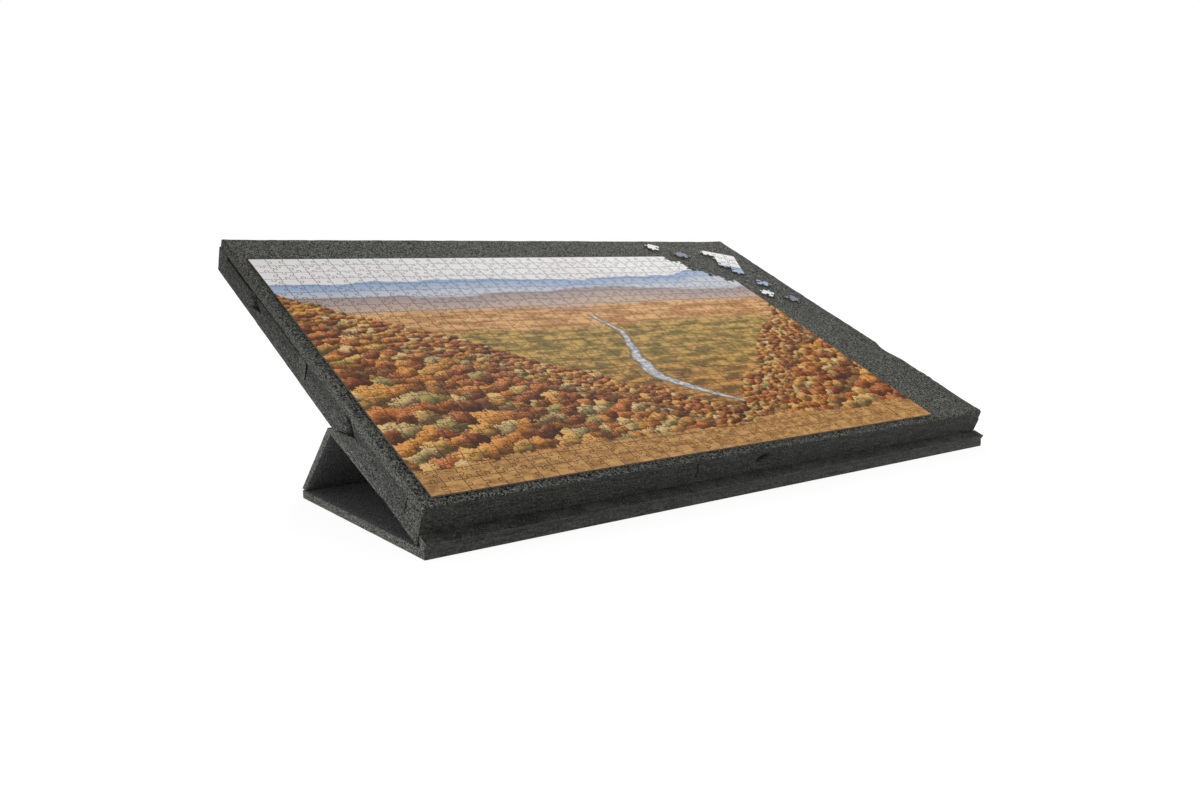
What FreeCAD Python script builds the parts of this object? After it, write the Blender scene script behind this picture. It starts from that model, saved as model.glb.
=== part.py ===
import FreeCAD, Part

import os
from math import atan2, cos, degrees, hypot, radians, sin, sqrt, tan

from FreeCAD import Vector

# A portable jigsaw puzzle board of stiff felt. Five shallow drawers slide out of a flat body, two on
# each side and one at the front. The body leans on a folded felt stand and its front edge sits in an
# upturned lip. A half-finished puzzle lies on the work surface.
# X runs along the width, Y from the front edge to the back, Z up. Sizes are in millimetres.
# The origin is on the ground under the centre of the outline.

# Overall size of the body and its lean on the stand.
board_width = 788.0
board_depth = 554.0
board_tilt = 23.5

# The layers of the body, from the bottom up.
bottom_thickness = 6.0
frame_height = 23.0
top_thickness = 10.0
top_inset = 0.8

# The frame between the bottom and the top panel.
end_rail_width = 28.0
divider_width = 18.0
centre_rail_width = 14.0
cross_rail_width = 18.0
centre_rib_width = 12.0

# The drawers.
front_drawer_width = 183.0
front_drawer_depth = 240.0
front_drawer_height = 10.5
slide_gap = 0.5
lift_gap = 0.3
head_gap = 1.2
side_gap = 0.8
front_wall = 16.0
rim_wall = 6.0
tray_floor = 2.5
rim_drop = 1.5
side_notch_half = 21.0
side_notch_depth = 12.8
near_notch_shift = 13.0
far_notch_shift = 22.0
front_notch_half = 10.0
front_notch_depth = 8.0
front_notch_ledge = 2.8

# The folded stand.
base_depth = 276.7
base_thickness = 8.8
strut_thickness = 9.0
strut_lean = 43.0
strut_heel = 4.5
crease_setback = 7.8
flap_length = 126.0
flap_thickness = 8.0
flap_front_thickness = 3.8
crest_drop = 3.8
seat_gap = 0.5
crease_gap = 0.3

# The upturned lip that holds the front edge of the body.
board_setback = 14.9
lip_reach = 11.7
lip_depth = 14.0
lip_root = 8.5

# The puzzle on the work surface. It holds as many whole pieces as the margins leave room for. The
# pieces beside it are placed from its back right corner: to the right, up the slope, turn in degrees.
puzzle_left = 12.3
puzzle_right = 95.0
puzzle_front = 10.4
puzzle_back = 62.5
piece_width = 18.38
piece_depth = 17.78
card_thickness = 2.0
knob_radius = 3.0
knob_reach = 2.5
missing_per_row = [4, 3, 3, 2, 1]
corner_per_row = [3, 2, 2, 1]
corner_place = (69.6, -1.5, -26.0)
loose_places = {
    "loose_piece_back": (-67.4, 35.5, -38.0),
    "loose_piece_corner": (-32.4, 4.5, -20.0),
    "loose_piece_sky": (47.6, -98.5, -35.0),
    "loose_piece_middle": (27.6, -133.5, -50.0),
    "loose_piece_right": (60.6, -152.5, 12.0),
}

# Sizes that follow from the ones above.
board_thickness = bottom_thickness + frame_height + top_thickness
frame_top = bottom_thickness + frame_height
half_width = board_width / 2
side_bay = (board_depth - 2 * end_rail_width - divider_width) / 2
front_bay_half = front_drawer_width / 2 + slide_gap
centre_rail_outer = front_bay_half + centre_rail_width
side_drawer_depth = half_width - centre_rail_outer - side_gap
side_drawer_width = side_bay - 2 * side_gap
drawer_bottom = bottom_thickness + lift_gap
drawer_top = frame_top - head_gap
front_bay_depth = front_drawer_depth + side_gap
puzzle_width = piece_width * int((board_width - puzzle_left - puzzle_right) / piece_width)
puzzle_depth = piece_depth * int((board_depth - puzzle_front - puzzle_back) / piece_depth)

slope = Vector(0, cos(radians(board_tilt)), sin(radians(board_tilt)))
rise = Vector(0, -sin(radians(board_tilt)), cos(radians(board_tilt)))
board_corner = Vector(0, board_setback, base_thickness + seat_gap)
back_corner = board_corner + slope * board_depth
lip_axis = board_corner + rise * lip_reach
lip_edge = lip_axis - slope * crease_gap
lip_front = lip_edge - slope * lip_depth
origin_y = (min(lip_front.y, 0.0) + back_corner.y) / 2

strut_line = Vector(0, -cos(radians(strut_lean)), sin(radians(strut_lean)))
strut_out = Vector(0, sin(radians(strut_lean)), cos(radians(strut_lean)))
rear_axis = Vector(0, base_depth - crease_setback, base_thickness + crease_gap)
flap_plane = board_corner - rise * crease_gap


def crossing(point, direction, other_point, other_direction):
    """Where two lines in the side view meet."""
    across = direction.y * other_direction.z - direction.z * other_direction.y
    offset = other_point - point
    along = (offset.y * other_direction.z - offset.z * other_direction.y) / across
    return point + direction * along


crest_corner = crossing(rear_axis + strut_out * strut_thickness, strut_line, flap_plane, slope)
crest_bisector = slope * -1 - strut_line
crest_bisector.normalize()
crest_axis = crest_corner + crest_bisector * crest_drop


def side_prism(points, width):
    """A solid of constant side view: a loop of points in Y and Z carried along X."""
    start = [Vector(-width / 2, p.y, p.z) for p in points]
    wire = Part.makePolygon(start + [start[0]])
    return Part.Face(wire).extrude(Vector(width, 0, 0))


def block(x0, x1, u0, u1, h0, h1):
    """A block in the board's own axes: X, up the slope from the front edge, up from the bottom."""
    return Part.makeBox(x1 - x0, u1 - u0, h1 - h0, Vector(x0, u0, h0))


def on_board(shape):
    """Moves a shape from the board's own axes to its place on the stand."""
    placed = shape.copy()
    placed.rotate(Vector(0, 0, 0), Vector(1, 0, 0), board_tilt)
    placed.translate(board_corner)
    return placed


def top_panel():
    x = half_width - top_inset
    return block(-x, x, 0, board_depth - top_inset, frame_top, board_thickness)


def bottom_panel():
    return block(-half_width, half_width, 0, board_depth, 0, bottom_thickness)


def back_rail():
    u = board_depth - end_rail_width
    return block(-half_width, half_width, u, board_depth, bottom_thickness, frame_top)


def front_rail():
    return block(-half_width, -front_bay_half, 0, end_rail_width, bottom_thickness, frame_top)


def side_divider():
    u = end_rail_width + side_bay
    return block(-half_width, -centre_rail_outer, u, u + divider_width, bottom_thickness, frame_top)


def centre_rail():
    u = board_depth - end_rail_width
    return block(-centre_rail_outer, -front_bay_half, end_rail_width, u, bottom_thickness, frame_top)


def cross_rail():
    x = front_bay_half
    u = front_bay_depth
    return block(-x, x, u, u + cross_rail_width, bottom_thickness, frame_top)


def centre_rib():
    x = centre_rib_width / 2
    u0 = front_bay_depth + cross_rail_width
    return block(-x, x, u0, board_depth - end_rail_width, bottom_thickness, frame_top)


def front_shelf():
    x = front_bay_half
    h = drawer_top - front_drawer_height - lift_gap
    return block(-x, x, 0, front_bay_depth, bottom_thickness, h)


def mirrored(shape):
    """The same piece on the other side of the board."""
    return shape.mirror(Vector(0, 0, 0), Vector(1, 0, 0))


def finger_notch(half, depth, height, middle, ledge):
    """The cutter of a half-round finger notch whose mouth lies on Y = 0."""
    radius = (half ** 2 + depth ** 2) / (2 * depth)
    centre = Vector(middle, depth - radius, ledge)
    return Part.makeCylinder(radius, height, centre)


def drawer(width, depth, height, notch):
    """A drawer in its own axes: its front face on Y = 0, centred on X = 0, its underside on Z = 0."""
    half = width / 2
    front = block(-half, half, 0, front_wall, 0, height).cut(notch)
    floor = block(-half, half, front_wall, depth, 0, tray_floor)
    rim_top = height - rim_drop
    outer = block(-half, half, front_wall, depth, tray_floor, rim_top)
    inner = block(-half + rim_wall, half - rim_wall, 0, depth - rim_wall, 0, height)
    return {"front": front, "floor": floor, "rim": outer.cut(inner)}


def side_drawer(centre_u, notch_shift):
    """One drawer of the left side, placed in the board's axes. Its notch lies behind its middle."""
    height = drawer_top - drawer_bottom
    notch = finger_notch(side_notch_half, side_notch_depth, height, -notch_shift, 0)
    pieces = drawer(side_drawer_width, side_drawer_depth, height, notch)
    for shape in pieces.values():
        shape.rotate(Vector(0, 0, 0), Vector(0, 0, 1), -90)
        shape.translate(Vector(-half_width, centre_u, drawer_bottom))
    return pieces


def front_drawer():
    h = drawer_top - front_drawer_height
    height = front_drawer_height
    notch = finger_notch(front_notch_half, front_notch_depth, height, 0, front_notch_ledge)
    pieces = drawer(front_drawer_width, front_drawer_depth, height, notch)
    for shape in pieces.values():
        shape.translate(Vector(0, 0, h))
    return pieces


def base_sheet():
    return Part.makeBox(board_width, base_depth, base_thickness, Vector(-half_width, 0, 0))


def front_lip():
    corner = Vector(0, 0, base_thickness)
    root = Vector(0, lip_root, base_thickness)
    return side_prism([corner, lip_front, lip_edge, root], board_width)


def strut_panel():
    """The rear panel of the stand, cut level at the crest and mitred against the flap."""
    heel = rear_axis + strut_out * strut_thickness - strut_line * strut_heel
    level = Vector(0, 1, 0)
    shoulder = crossing(crest_axis, level, heel, strut_line)
    toe = crossing(crest_axis, crest_bisector, rear_axis, strut_line)
    backward = strut_line * -crease_gap
    loop = [rear_axis, heel, shoulder + backward, crest_axis + backward, toe + backward]
    return side_prism(loop, board_width)


def flap_panel():
    """The sloping panel under the board, thick at the crest and thin towards the front."""
    level = Vector(0, 1, 0)
    shoulder = crossing(crest_axis, level, flap_plane, slope)
    tip_top = crest_corner - slope * flap_length
    tip_low = tip_top - rise * flap_front_thickness
    under = crest_corner - rise * flap_thickness
    toe = crossing(crest_axis, crest_bisector, under, under - tip_low)
    forward = slope * -crease_gap
    loop = [tip_top, shoulder + forward, crest_axis + forward, toe + forward, tip_low]
    return side_prism(loop, board_width)


def knob(middle, outward, height):
    """The round knob of a puzzle piece, centred outside the middle of an edge."""
    centre = middle + outward * knob_reach
    return Part.makeCylinder(knob_radius, height, centre)


def tiles(counts):
    """Rows of whole pieces whose back right corner is at the origin: one count per row, towards -Y."""
    solid = None
    for row, count in enumerate(counts):
        length = count * piece_width
        corner = Vector(-length, -(row + 1) * piece_depth, 0)
        tile = Part.makeBox(length, piece_depth, card_thickness, corner)
        solid = tile if solid is None else solid.fuse(tile)
    return solid.removeSplitter()


def assembled_puzzle():
    """The finished part of the puzzle, with the stepped gap at its back right corner."""
    full = Part.makeBox(puzzle_width, puzzle_depth, card_thickness)
    gap = tiles(missing_per_row)
    gap.translate(Vector(puzzle_width, puzzle_depth, 0))
    sheet = full.cut(gap)
    for row, count in enumerate(missing_per_row):
        edge = Vector(puzzle_width - count * piece_width, puzzle_depth - (row + 0.5) * piece_depth, 0)
        if row % 2 == 0:
            sheet = sheet.cut(knob(edge, Vector(-1, 0, 0), card_thickness))
        else:
            sheet = sheet.fuse(knob(edge, Vector(1, 0, 0), card_thickness))
    sheet = sheet.removeSplitter()
    sheet.translate(Vector(puzzle_left - half_width, puzzle_front, board_thickness))
    return sheet


def corner_pieces():
    """The joined pieces of the missing corner, lying beside the puzzle."""
    sheet = tiles(corner_per_row)
    for row, count in enumerate(corner_per_row):
        edge = Vector(-count * piece_width, -(row + 0.5) * piece_depth, 0)
        if row % 2 == 0:
            sheet = sheet.fuse(knob(edge, Vector(-1, 0, 0), card_thickness))
        else:
            sheet = sheet.cut(knob(edge, Vector(1, 0, 0), card_thickness))
    return laid_down(sheet.removeSplitter(), corner_place)


def loose_piece(place):
    """A single piece with two knobs and two sockets, centred on its place."""
    x = piece_width / 2
    y = piece_depth / 2
    piece = Part.makeBox(piece_width, piece_depth, card_thickness, Vector(-x, -y, 0))
    for side in (-1, 1):
        piece = piece.fuse(knob(Vector(side * x, 0, 0), Vector(side, 0, 0), card_thickness))
        piece = piece.cut(knob(Vector(0, side * y, 0), Vector(0, -side, 0), card_thickness))
    return laid_down(piece.removeSplitter(), place)


def laid_down(sheet, place):
    """Turns a flat piece and lays it on the work surface, placed from the puzzle's back right corner."""
    right, up, turn = place
    corner = Vector(puzzle_left - half_width + puzzle_width, puzzle_front + puzzle_depth, board_thickness)
    sheet.rotate(Vector(0, 0, 0), Vector(0, 0, 1), turn)
    sheet.translate(corner + Vector(right, up, 0))
    return sheet


def board_nodes():
    """The pieces of the body, the drawers and the puzzle, in the board's own axes."""
    nodes = {
        "top_panel": top_panel(),
        "bottom_panel": bottom_panel(),
        "back_rail": back_rail(),
        "front_rail_left": front_rail(),
        "front_rail_right": mirrored(front_rail()),
        "side_divider_left": side_divider(),
        "side_divider_right": mirrored(side_divider()),
        "centre_rail_left": centre_rail(),
        "centre_rail_right": mirrored(centre_rail()),
        "cross_rail": cross_rail(),
        "centre_rib": centre_rib(),
        "front_drawer_shelf": front_shelf(),
        "assembled_puzzle": assembled_puzzle(),
        "corner_pieces": corner_pieces(),
    }
    for name, place in loose_places.items():
        nodes[name] = loose_piece(place)
    near = end_rail_width + side_bay / 2
    far = near + side_bay + divider_width
    places = (("near", near, near_notch_shift), ("far", far, far_notch_shift))
    for label, centre_u, notch_shift in places:
        for part, shape in side_drawer(centre_u, notch_shift).items():
            nodes["left_" + label + "_drawer_" + part] = shape
            nodes["right_" + label + "_drawer_" + part] = mirrored(shape)
    for part, shape in front_drawer().items():
        nodes["front_drawer_" + part] = shape
    return nodes


def stand_nodes():
    return {
        "base_sheet": base_sheet(),
        "front_lip": front_lip(),
        "strut_panel": strut_panel(),
        "flap_panel": flap_panel(),
    }


def all_nodes():
    """Every node in the part's frame, with the origin under the middle of the outline."""
    nodes = {name: on_board(shape) for name, shape in board_nodes().items()}
    nodes.update(stand_nodes())
    for shape in nodes.values():
        shape.translate(Vector(0, -origin_y, 0))
    return nodes


def joint_axes():
    """The joint axes in the part's frame, in millimetres."""
    shift = Vector(0, -origin_y, 0)
    axes = {"lip_axis": lip_axis, "rear_axis": rear_axis, "crest_axis": crest_axis}
    return {name: point + shift for name, point in axes.items()}


def main():
    os.makedirs("parts", exist_ok=True)
    for name, shape in all_nodes().items():
        if not shape.isValid() or not shape.Solids:
            raise ValueError(name + " is not a valid solid")
        shape.exportStep("parts/" + name + ".step")
        print(name, "solids", len(shape.Solids), "volume", round(shape.Volume))
    for name, point in joint_axes().items():
        print(name, round(point.y, 3), round(point.z, 3))


if __name__ == "__main__":
    main()
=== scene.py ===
"""Dresses the jigsaw board with drawers: pressed felt, die-cut card and the folded stand."""

import logging
import math
import random
from dataclasses import dataclass, field
from enum import Enum
from itertools import product
from typing import Callable, Iterable, Optional, Sequence, Union

import bmesh
import bpy
from mathutils import Matrix, Vector, noise


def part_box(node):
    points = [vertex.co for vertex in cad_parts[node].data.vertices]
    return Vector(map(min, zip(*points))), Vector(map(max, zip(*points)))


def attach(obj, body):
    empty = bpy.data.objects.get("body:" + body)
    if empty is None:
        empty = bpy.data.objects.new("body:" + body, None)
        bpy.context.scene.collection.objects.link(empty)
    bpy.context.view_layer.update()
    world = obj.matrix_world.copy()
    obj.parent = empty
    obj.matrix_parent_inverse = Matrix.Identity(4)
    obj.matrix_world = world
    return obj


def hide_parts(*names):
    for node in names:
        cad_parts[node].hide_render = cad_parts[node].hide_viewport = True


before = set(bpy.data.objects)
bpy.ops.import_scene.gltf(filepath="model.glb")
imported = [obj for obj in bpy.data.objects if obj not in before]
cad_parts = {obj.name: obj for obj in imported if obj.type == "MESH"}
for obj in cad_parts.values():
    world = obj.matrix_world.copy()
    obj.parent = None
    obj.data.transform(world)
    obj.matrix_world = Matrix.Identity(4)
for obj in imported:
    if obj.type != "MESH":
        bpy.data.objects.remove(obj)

log = logging.getLogger("puzzle_board")
TILT = math.radians(23.5)
MM = 0.001
HAIR = 0.1 * MM
NEAR = 1.0 * MM
SKIN = 1.5 * MM
SHARP_ANGLE = math.radians(38.0)
SOFTENED_ANGLE = math.radians(30.0)
FACING = 0.72
LONG_WAVE = 28.0
SHORT_WAVE = 95.0
# Vertex attribute that holds painted shade: how much the cut felt is darkened in notches, slits and creases.
SHADE_ATTRIBUTE = "pressed"
WEAR_SEED = 7
WHITE = (1.0, 1.0, 1.0, 1.0)
FRONT = Vector((0, -1, 0))
UP = Vector((0, 0, 1))

Point = tuple[float, float]
Cell = tuple[int, int]
Colour = tuple[float, float, float]
Pair = tuple[Colour, Colour]
Input = Union["Value", float, Sequence[float]]
Material = bpy.types.Material
Shape = bmesh.types.BMesh
Vert = bmesh.types.BMVert


class Side(Enum):
    """The two long sides that the drawers slide out of."""

    LEFT = -1
    RIGHT = 1


class Cut(Enum):
    """Which of the felt finishes a face takes."""

    FACE = 0
    SIDE = 1
    # Front-facing cut faces: a darker copy of the cut felt, painted shade with a smoother grain.
    FRONT = 2


class Card(Enum):
    """Which of the card finishes a face takes."""

    TOP = 0
    GROOVE = 1
    BACK = 2
    EDGE = 3


class Value:
    """A socket of a node tree that takes Python's arithmetic."""

    def __init__(self, recipe: "Recipe", socket: bpy.types.NodeSocket) -> None:
        """Keeps the tree and the socket."""
        self.recipe = recipe
        self.socket = socket

    def __add__(self, other: Input) -> "Value":
        """Sum."""
        return self.recipe.math("ADD", self, other)

    __radd__ = __add__

    def __mul__(self, other: Input) -> "Value":
        """Product."""
        return self.recipe.math("MULTIPLY", self, other)

    __rmul__ = __mul__

    def __sub__(self, other: Input) -> "Value":
        """Difference."""
        return self.recipe.math("SUBTRACT", self, other)

    def __rsub__(self, other: Input) -> "Value":
        """Difference from a number."""
        return self.recipe.math("SUBTRACT", other, self)

    def output(self, name: str) -> "Value":
        """Another output of the node that made this value."""
        return Value(self.recipe, self.socket.node.outputs[name])

    def wave(self) -> "Value":
        """Sine of the value."""
        return self.recipe.math("SINE", self)

    def distance(self, other: Input) -> "Value":
        """How far this value is from another."""
        return self.recipe.math("ABSOLUTE", self - other)

    def largest(self, other: Input) -> "Value":
        """The larger of two values."""
        return self.recipe.math("MAXIMUM", self, other)

    def spread(self, low: float, high: float, curve: str = "LINEAR") -> "Value":
        """A ramp from 0 at low to 1 at high, held between them."""
        inputs = {"Value": self, "From Min": low, "From Max": high}
        return self.recipe.node("ShaderNodeMapRange", {"interpolation_type": curve}, inputs)

    def rise(self, low: float, high: float) -> "Value":
        """A smooth step, which falls where low lies above high.

        Args:
            low: Where it is 0.
            high: Where it is 1.

        Returns:
            The step.
        """
        if low > high:
            return 1.0 - self.rise(high, low)
        return self.spread(low, high, "SMOOTHSTEP")


class Recipe:
    """The node tree of one finish or of the world."""

    def __init__(self, owner: Union[Material, bpy.types.World]) -> None:
        """Empties the tree of its owner.

        Args:
            owner: A new material or world.
        """
        owner.use_nodes = True
        self.owner = owner
        self.tree = owner.node_tree
        self.tree.nodes.clear()

    def node(self, kind: str, settings: Optional[dict] = None, inputs: Optional[dict] = None,
             output: Union[int, str] = 0) -> Value:
        """Adds any node.

        Args:
            kind: The node's type.
            settings: Its properties, or "stops" for a ramp.
            inputs: Values or links by socket name or number.
            output: Which output to return.

        Returns:
            The output, ready for arithmetic.
        """
        made = self.tree.nodes.new(kind)
        for key, value in (settings or {}).items():
            if key == "stops":
                self._set_stops(made.color_ramp, value)
            else:
                setattr(made, key, value)
        for key, value in (inputs or {}).items():
            if isinstance(value, Value):
                self.tree.links.new(value.socket, made.inputs[key])
            else:
                made.inputs[key].default_value = value
        return Value(self, made.outputs[output])

    @staticmethod
    def _set_stops(ramp: bpy.types.ColorRamp, stops: Sequence[tuple[float, Colour]]) -> None:
        """Sets a ramp's colours.

        Args:
            ramp: The ramp.
            stops: Its colours with their places.
        """
        while len(ramp.elements) < len(stops):
            ramp.elements.new(0.5)
        for element, (place, colour) in zip(ramp.elements, stops):
            element.position = place
            element.color = (*colour, 1.0)

    def math(self, operation: str, *inputs: Input) -> Value:
        """Adds one Math node."""
        return self.node("ShaderNodeMath", {"operation": operation}, dict(enumerate(inputs)))

    def coordinates(self, tilt: float = 0.0, stretch: Sequence[float] = (1.0, 1.0, 1.0)) -> Value:
        """Object coordinates, turned level with a tilted panel and then stretched.

        Args:
            tilt: The panel's tilt.
            stretch: The scale along each of its axes.

        Returns:
            The coordinates.
        """
        place = self.node("ShaderNodeTexCoord", output="Object")
        settings = {"rotation_type": "X_AXIS"}
        turned = self.node("ShaderNodeVectorRotate", settings, {"Vector": place, "Angle": -tilt})
        return self.node("ShaderNodeMapping", {"vector_type": "POINT"}, {"Vector": turned, "Scale": stretch})

    def noise(self, vector: Value, scale: float, detail: float = 2.0, roughness: float = 0.5,
              distortion: float = 0.0) -> Value:
        """Smooth noise about 0.5.

        Args:
            vector: Its coordinates.
            scale: How fine it is.
            detail: How many finer noises it has.
            roughness: How strong those are.
            distortion: How much it swirls.

        Returns:
            The noise.
        """
        inputs = {"Vector": vector, "Scale": scale, "Detail": detail, "Roughness": roughness,
                  "Distortion": distortion}
        return self.node("ShaderNodeTexNoise", {"noise_dimensions": "3D"}, inputs)

    def mix(self, share: Input, first: Input, second: Input) -> Value:
        """A blend of two colours.

        Args:
            share: How much of the second colour there is.
            first: A colour.
            second: Another colour.

        Returns:
            The blend.
        """
        start, end = (one if isinstance(one, Value) else (*one, 1.0) for one in (first, second))
        settings = {"data_type": "RGBA", "blend_type": "MIX"}
        return self.node("ShaderNodeMix", settings, {0: share, 6: start, 7: end}, output=2)

    def tint(self, colour: Value, amount: Value) -> Value:
        """A colour made lighter or darker by a value."""
        return self.node("ShaderNodeVectorMath", {"operation": "SCALE"}, {0: colour, "Scale": amount})

    def bump(self, height: Value, distance: float, strength: float = 1.0) -> Value:
        """A normal from a height."""
        inputs = {"Height": height, "Distance": distance, "Strength": strength}
        return self.node("ShaderNodeBump", inputs=inputs)

    def surface(self, **inputs: Input) -> Material:
        """Ends the tree with a Principled shader.

        Args:
            inputs: Its sockets, with underscores for spaces.

        Returns:
            The finished material.
        """
        named = {key.replace("_", " "): value for key, value in inputs.items()}
        self.end(self.node("ShaderNodeBsdfPrincipled", inputs=named))
        return self.owner

    def white_where_seen(self, plain: Value, white: Value, share: Optional[Value] = None) -> Value:
        """Mixes a shader with a white one for rays that only look at the background.

        Args:
            plain: The shader that lights the part.
            white: The shader that is seen.
            share: How white each point becomes, if not wholly.

        Returns:
            The mixed shader.
        """
        seen = self.node("ShaderNodeLightPath", output="Is Camera Ray")
        path = seen
        for ray in ("Is Glossy Ray", "Is Transmission Ray"):
            seen = seen.largest(path.output(ray))
        amount = seen if share is None else seen * share
        return self.node("ShaderNodeMixShader", inputs={0: amount, 1: plain, 2: white})

    def end(self, shader: Value, kind: str = "ShaderNodeOutputMaterial") -> None:
        """Links a shader to the tree's output."""
        made = self.tree.nodes.new(kind)
        self.tree.links.new(shader.socket, made.inputs["Surface"])


@dataclass(frozen=True)
class FeltFace:
    """The pressed face of the felt: dark wool under a mat of pale, curled fibres."""

    name: str = "felt_face"
    tilt: float = TILT
    dark: Colour = (0.005, 0.005, 0.005)
    middle: Colour = (0.086, 0.088, 0.077)
    pale: Colour = (0.44, 0.445, 0.390)
    fleck_share: float = 0.66
    contrast: float = 0.09
    clouds: float = 30.0
    mottles: float = 720.0
    curls: float = 330.0
    hairs: float = 520.0
    fuzz: float = 0.0008

    def build(self) -> Material:
        """Makes the material."""
        r = Recipe(bpy.data.materials.new(self.name))
        place = r.coordinates(self.tilt, (1.0, 0.6, 1.0))
        cloud = r.noise(place, self.clouds, 2.0, 0.5)
        mottle = r.noise(place, self.mottles, 1.0, 0.6, 0.3)
        mottle = mottle.spread(0.5 - self.contrast * 0.6, 0.5 + self.contrast)
        curl = r.noise(place, self.curls, 1.5, 0.45, 2.4).distance(0.5).rise(0.070, 0.010)
        hair = r.noise(place, self.hairs, 1.0, 0.4, 1.8).distance(0.52).rise(0.09, 0.02)
        curl = curl * r.noise(place, 540.0, 1.0).rise(0.50, 0.60)
        hair = hair * r.noise(place, 580.0, 1.0).rise(0.50, 0.60)
        fleck = curl.largest(hair)
        wool = r.mix(mottle * (mottle * 0.5 + 0.5), self.dark, self.middle)
        wool = r.mix(fleck * self.fleck_share, wool, self.pale)
        wool = r.tint(wool, cloud * 0.14 + 0.93)
        normal = r.bump(mottle * 0.7 + fleck * 0.5, self.fuzz, 0.6)
        return r.surface(Base_Color=wool, Roughness=0.96, Normal=normal, Specular_IOR_Level=0.12)


@dataclass(frozen=True)
class FeltCut:
    """The knife-cut edge of the felt: grainy wool in fine layers, with painted shade laid on where a vertex
    attribute marks notches, slits and creases.
    """

    name: str = "felt_cut"
    tilt: float = TILT
    dark: Colour = (0.005, 0.005, 0.005)
    middle: Colour = (0.134, 0.136, 0.121)
    pale: Colour = (0.32, 0.321, 0.287)
    grain_share: float = 0.86
    stroke_share: float = 0.60
    grain: float = 640.0
    contrast: float = 0.085
    # How strongly the painted shade darkens the wool.
    painted_shade_share: float = 0.86
    clouds: float = 26.0
    layer_stretch: tuple = (50.0, 50.0, 470.0)
    stroke_stretch: tuple = (260.0, 260.0, 560.0)
    fuzz: float = 0.0008

    def build(self) -> Material:
        """Makes the material."""
        r = Recipe(bpy.data.materials.new(self.name))
        place = r.coordinates()
        layers = r.noise(r.coordinates(self.tilt, self.layer_stretch), 1.0, 2.0, 0.6, 0.8).spread(0.36, 0.64)
        speck = r.noise(place, self.grain, 1.5, 0.75, 0.4)
        speck = speck.spread(0.5 - self.contrast * 0.6, 0.5 + self.contrast)
        cloud = r.noise(place, self.clouds, 2.0, 0.5)
        hair = r.noise(r.coordinates(self.tilt, self.stroke_stretch), 1.0, 1.0, 0.4, 1.5)
        stroke = hair.distance(0.5).rise(0.09, 0.02) * r.noise(place, 560.0, 1.0).rise(0.44, 0.56)
        tone = speck * (speck * 0.5 + 0.5) * self.grain_share + layers * (1.0 - self.grain_share)
        wool = r.mix(tone, self.dark, self.middle)
        wool = r.mix(stroke * self.stroke_share, wool, self.pale)
        # Painted shade: the wool is darkened by the vertex attribute set in recesses and slits.
        pressed = r.node("ShaderNodeAttribute", {"attribute_name": SHADE_ATTRIBUTE}, output="Fac")
        wool = r.tint(wool, (cloud * 0.2 + 0.90) * (1.0 - pressed * self.painted_shade_share))
        normal = r.bump(speck * 0.6 + layers * 0.5 + stroke * 0.3, self.fuzz, 0.55)
        return r.surface(Base_Color=wool, Roughness=0.97, Normal=normal, Specular_IOR_Level=0.10)


@dataclass(frozen=True)
class Layer:
    """One layer of the picture's land: its colours, and how its upper edge lies, wanders and fades."""

    colours: Pair
    level: float
    seed: float
    pitch: float
    swing: float
    detail: float
    soft: Point


@dataclass(frozen=True)
class Grove:
    """One row of the picture's woods: how far down it starts, its crowns' scale, seed and bulge."""

    drop: float
    scale: float
    seed: float
    bulge: float


@dataclass(frozen=True)
class Canvas:
    """The puzzle's own map as values: across and up from 0 to 1, and wide at the picture's true width."""

    r: Recipe
    across: Value
    up: Value
    wide: Value

    def vector(self, x: Value, y: Value) -> Value:
        """Two values as one vector."""
        return self.r.node("ShaderNodeCombineXYZ", inputs={"X": x, "Y": y})

    def grain(self, x: Value, y: Value, detail: float = 3.0, roughness: float = 0.55) -> Value:
        """Noise over the picture's own plane."""
        inputs = {"Vector": self.vector(x, y), "Scale": 1.0, "Detail": detail, "Roughness": roughness}
        return self.r.node("ShaderNodeTexNoise", {"noise_dimensions": "2D"}, inputs)

    def line(self, along: Value, seed: float, pitch: float, swing: float, detail: float) -> Value:
        """An uneven line about zero.

        Args:
            along: The axis that it follows.
            seed: Where its noise starts.
            pitch: How often it swings.
            swing: How far it swings.
            detail: How many finer swings it has.

        Returns:
            The line's level at each point.
        """
        inputs = {"W": along * pitch + seed, "Scale": 1.0, "Detail": detail, "Roughness": 0.5}
        wander = self.r.node("ShaderNodeTexNoise", {"noise_dimensions": "1D"}, inputs)
        return (wander - 0.5) * (2.0 * swing)

    def under(self, layer: Layer, lift: Input = 0.0) -> Value:
        """How far each point lies under a layer's upper edge."""
        wander = self.line(self.across, layer.seed, layer.pitch, layer.swing, layer.detail)
        return layer.level + lift + wander - self.up

    def lay(self, picture: Value, layer: Layer, depth: Value, share: Value) -> Value:
        """Lays a layer over the picture, its two colours mixed by a share."""
        return self.r.mix(depth.rise(*layer.soft), picture, self.r.mix(share, *layer.colours))


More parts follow.
